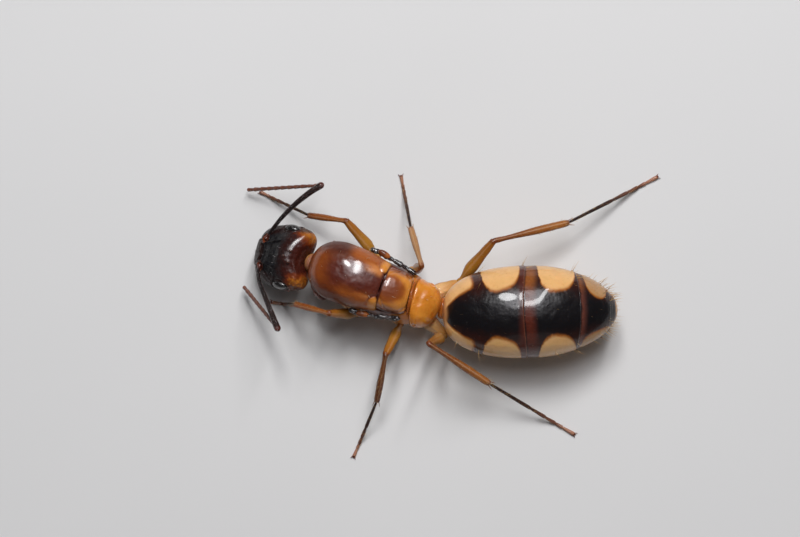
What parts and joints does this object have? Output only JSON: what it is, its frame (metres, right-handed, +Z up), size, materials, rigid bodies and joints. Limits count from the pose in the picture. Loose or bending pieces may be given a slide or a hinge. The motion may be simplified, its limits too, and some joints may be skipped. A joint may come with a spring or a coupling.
{
  "type": "carpenter ant queen",
  "caption": "Life-size still model of a wingless carpenter ant queen, standing on all legs, black and orange with cream sides to the gaster.",
  "frame": {"origin": "centre of the bounding box, on the floor that the feet stand on", "axes": "+Z up, +X from the head towards the tip of the gaster, +Y to the ant's right side"},
  "size_m": [0.017, 0.016, 0.0043],
  "materials": {
    "black_shell": "gloss",
    "brown_shell": "gloss",
    "orange_shell": "gloss",
    "amber_leg": "satin",
    "dark_leg": "satin",
    "cream_coxa": "satin",
    "eye": "gloss",
    "pale_setae": "matte"
  },
  "bodies": {
    "root": {"coxa_left_front": "cream_coxa", "coxa_left_hind": "cream_coxa", "coxa_left_middle": "cream_coxa", "coxa_right_front": "cream_coxa", "coxa_right_hind": "cream_coxa", "coxa_right_middle": "cream_coxa", "eye_left": "eye", "eye_right": "eye", "femur_left_front": "amber_leg", "femur_left_hind": "amber_leg", "femur_left_middle": "amber_leg", "femur_right_front": "amber_leg", "femur_right_hind": "amber_leg", "femur_right_middle": "amber_leg", "funiculus_left": "dark_leg", "funiculus_right": "dark_leg", "gaster_plate_1": "black_shell", "gaster_plate_2": "black_shell", "gaster_plate_3": "black_shell", "gaster_plate_4": "black_shell", "gaster_plate_5": "black_shell", "head": "black_shell", "mandible_left": "black_shell", "mandible_right": "black_shell", "metanotum": "brown_shell", "neck": "brown_shell", "petiole": "orange_shell", "pleuron": "brown_shell", "pronotum": "brown_shell", "propodeum": "orange_shell", "scape_left": "black_shell", "scape_right": "black_shell", "scutellum": "brown_shell", "scutum": "brown_shell", "tarsus_left_front": "dark_leg", "tarsus_left_hind": "dark_leg", "tarsus_left_middle": "dark_leg", "tarsus_right_front": "dark_leg", "tarsus_right_hind": "dark_leg", "tarsus_right_middle": "dark_leg", "tibia_left_front": "dark_leg", "tibia_left_hind": "dark_leg", "tibia_left_middle": "dark_leg", "tibia_right_front": "dark_leg", "tibia_right_hind": "dark_leg", "tibia_right_middle": "dark_leg", "wing_scar_left": "black_shell", "wing_scar_right": "black_shell"}
  },
  "joints": []
}
